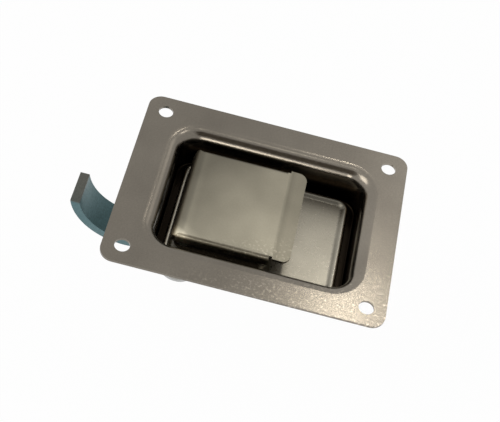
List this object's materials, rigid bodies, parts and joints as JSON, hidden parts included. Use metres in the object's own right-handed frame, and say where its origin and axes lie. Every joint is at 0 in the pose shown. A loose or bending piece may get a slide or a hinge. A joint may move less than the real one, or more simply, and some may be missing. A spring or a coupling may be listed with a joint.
{
  "type": "compression latch",
  "caption": "Flush recessed paddle latch in a drawn stainless frame, with a toggle linkage that pulls a bent hook against the door frame.",
  "frame": {"origin": "centre of the four screw holes on the back face of the flange", "axes": "+X along the flange away from the hook, +Y across the flange, +Z out of the panel towards the user"},
  "size_m": [0.1298, 0.085, 0.0411],
  "materials": {
    "satin_stainless": "satin drawn stainless sheet with fine scratches",
    "paddle_stainless": "smooth satin stainless sheet",
    "dish_stainless": "smooth semi-bright stainless sheet",
    "blue_zinc": "blue passivated zinc plate",
    "clear_zinc": "clear passivated zinc plate",
    "pin_steel": "turned stainless pin",
    "spring_steel": "drawn spring wire"
  },
  "bodies": {
    "housing": {"front_frame": "satin_stainless", "inner_dish": "dish_stainless", "near_pivot_bracket": "clear_zinc", "far_pivot_bracket": "clear_zinc", "bracket_rivets": "pin_steel", "pin_lugs": "dish_stainless", "paddle_pin": "pin_steel", "paddle_pin_spacers": "pin_steel", "hook_pin": "pin_steel", "hook_pin_spacers": "pin_steel", "return_spring": "spring_steel"},
    "paddle": {"paddle_shell": "paddle_stainless", "paddle_bracket": "paddle_stainless", "paddle_crank": "clear_zinc", "crank_pin": "pin_steel"},
    "links": {"near_link": "clear_zinc", "far_link": "clear_zinc"},
    "hook": {"hook_carrier": "blue_zinc", "hook_strap": "blue_zinc", "hook_rivets": "pin_steel", "link_pin": "pin_steel"}
  },
  "joints": [
    {"name": "paddle_pivot", "type": "hinge", "parent": "housing", "child": "paddle", "pos_m": [-0.026, 0, -0.0078], "axis": [0, -1, 0], "range_deg": [0, 70], "stiffness_Nm_per_rad": 0.12, "springref_deg": -34.38, "deforming": ["return_spring"]},
    {"name": "link_pivot", "type": "hinge", "parent": "paddle", "child": "links", "pos_m": [-0.02173, 0, -0.01955], "axis": [0, -1, 0], "range_deg": [-102, 0]},
    {"name": "hook_pivot", "type": "hinge", "parent": "housing", "child": "hook", "pos_m": [-0.0263, 0, -0.0262], "axis": [0, -1, 0], "range_deg": [0, 62]}
  ],
  "couplings": [
    {"joint": "link_pivot", "follows": "paddle_pivot", "ratio": -1.454},
    {"joint": "hook_pivot", "follows": "paddle_pivot", "ratio": 0.873}
  ]
}
